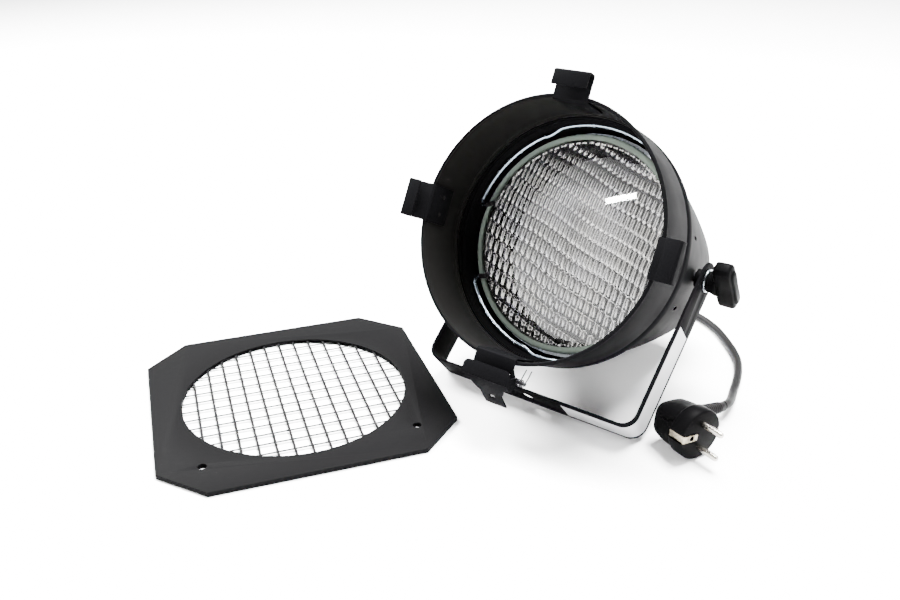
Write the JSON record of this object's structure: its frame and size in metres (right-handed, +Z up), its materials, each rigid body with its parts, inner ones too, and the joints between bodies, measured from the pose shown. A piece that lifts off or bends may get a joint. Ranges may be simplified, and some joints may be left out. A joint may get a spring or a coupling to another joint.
{
  "type": "par can stage light",
  "caption": "Round black par can stage light on a bent-bar yoke with wing knobs, sealed fluted lamp, spring latch, loose filter frame and plugged mains cord.",
  "frame": {"origin": "on the floor, under the middle of the box round the light and its filter frame, cord left out", "axes": "+Z up; the lamp faces -Y, raised by its tilt; X runs along the yoke's pivot axis, +X to the right of someone facing the lamp's mouth"},
  "size_m": [0.4687, 0.5822, 0.2638],
  "materials": {
    "black_coat": "satin black powder coat on sheet steel",
    "spring_steel": "dark oiled spring steel",
    "zinc_steel": "bright zinc-plated steel",
    "black_wire": "dark coated wire mesh",
    "lamp_glass": "clear fluted lamp glass",
    "silvered_glass": "silvered reflector",
    "ceramic": "off-white ceramic",
    "nickel": "nickel-plated brass",
    "black_plastic": "black moulded plastic",
    "black_rubber": "black flexible sheath"
  },
  "bodies": {
    "root": {"front_tube": "black_coat", "rear_housing": "black_coat", "lamp_seat_ring": "zinc_steel", "rear_cap": "black_coat", "cap_screw_1": "zinc_steel", "cap_screw_2": "zinc_steel", "cap_screw_3": "zinc_steel", "terminal_block": "ceramic", "lead_live": "black_rubber", "lead_neutral": "black_rubber", "inner_cord": "black_rubber", "cable_gland": "black_plastic", "gland_locknut": "black_plastic", "gland_sleeve": "black_rubber", "clip_right": "black_coat", "clip_top": "black_coat", "clip_left": "black_coat", "latch_bracket": "black_coat", "latch_pin": "spring_steel", "pivot_nut_right": "zinc_steel", "pivot_nut_left": "zinc_steel", "pivot_spacer_right": "black_plastic", "pivot_spacer_left": "black_plastic", "mains_cord_start": "black_rubber", "mains_cord_coil": "black_rubber", "mains_cord_run": "black_rubber", "cord_relief": "black_rubber", "plug_body": "black_plastic", "plug_pin_upper": "nickel", "plug_pin_lower": "nickel", "plug_earth_cord_side": "nickel", "plug_earth_face_side": "nickel"},
    "lamp": {"lamp_lens": "lamp_glass", "lamp_reflector": "silvered_glass", "lamp_filament": "zinc_steel", "lamp_base": "ceramic", "lamp_prong_left": "nickel", "lamp_prong_right": "nickel", "lampholder": "ceramic"},
    "lamp_ring": {"retaining_ring": "zinc_steel", "ring_sleeve_upper": "black_rubber", "ring_sleeve_lower": "black_rubber"},
    "latch": {"latch_flap": "black_coat", "latch_spring": "spring_steel"},
    "yoke": {"yoke": "black_coat", "pivot_washer_right": "zinc_steel", "pivot_washer_left": "zinc_steel"},
    "knob_right": {"tilt_knob_right": "black_plastic", "tilt_bolt_right": "zinc_steel"},
    "knob_left": {"tilt_knob_left": "black_plastic", "tilt_bolt_left": "zinc_steel"},
    "filter_frame": {"filter_frame_tray": "black_coat", "filter_frame_back": "black_coat", "filter_grille": "black_wire"}
  },
  "joints": [
    {"name": "yoke_tilt", "type": "hinge", "parent": "root", "child": "yoke", "pos_m": [0.0942, 0.1191, 0.10009], "axis": [1, 0, 0], "range_deg": [-14, 236], "deforming": ["mains_cord_start", "mains_cord_run"]},
    {"name": "knob_right_turn", "type": "hinge", "parent": "root", "child": "knob_right", "pos_m": [0.1942, 0.1191, 0.10009], "axis": [1, 0, 0], "continuous": true},
    {"name": "knob_left_turn", "type": "hinge", "parent": "root", "child": "knob_left", "pos_m": [-0.0058, 0.1191, 0.10009], "axis": [-1, 0, 0], "continuous": true},
    {"name": "latch_open", "type": "hinge", "parent": "root", "child": "latch", "pos_m": [0.0942, -0.03548, 0.05578], "axis": [1, 0, 0], "range_deg": [0, 30], "stiffness_Nm_per_rad": 0.05, "springref_deg": -17.19, "deforming": ["latch_spring"]},
    {"name": "lamp_turn", "type": "hinge", "parent": "root", "child": "lamp", "pos_m": [0.0942, 0.07741, 0.12264], "axis": [0, 0.8796, -0.4756], "range_deg": [-90, 90]},
    {"name": "ring_lift", "type": "slide", "parent": "root", "child": "lamp_ring", "axis": [0, -0.8796, 0.4756], "range_m": [0, 0.05]},
    {"name": "filter_frame_lift", "type": "slide", "parent": "root", "child": "filter_frame", "axis": [0, 0, 1], "range_m": [0, 0.02]}
  ]
}
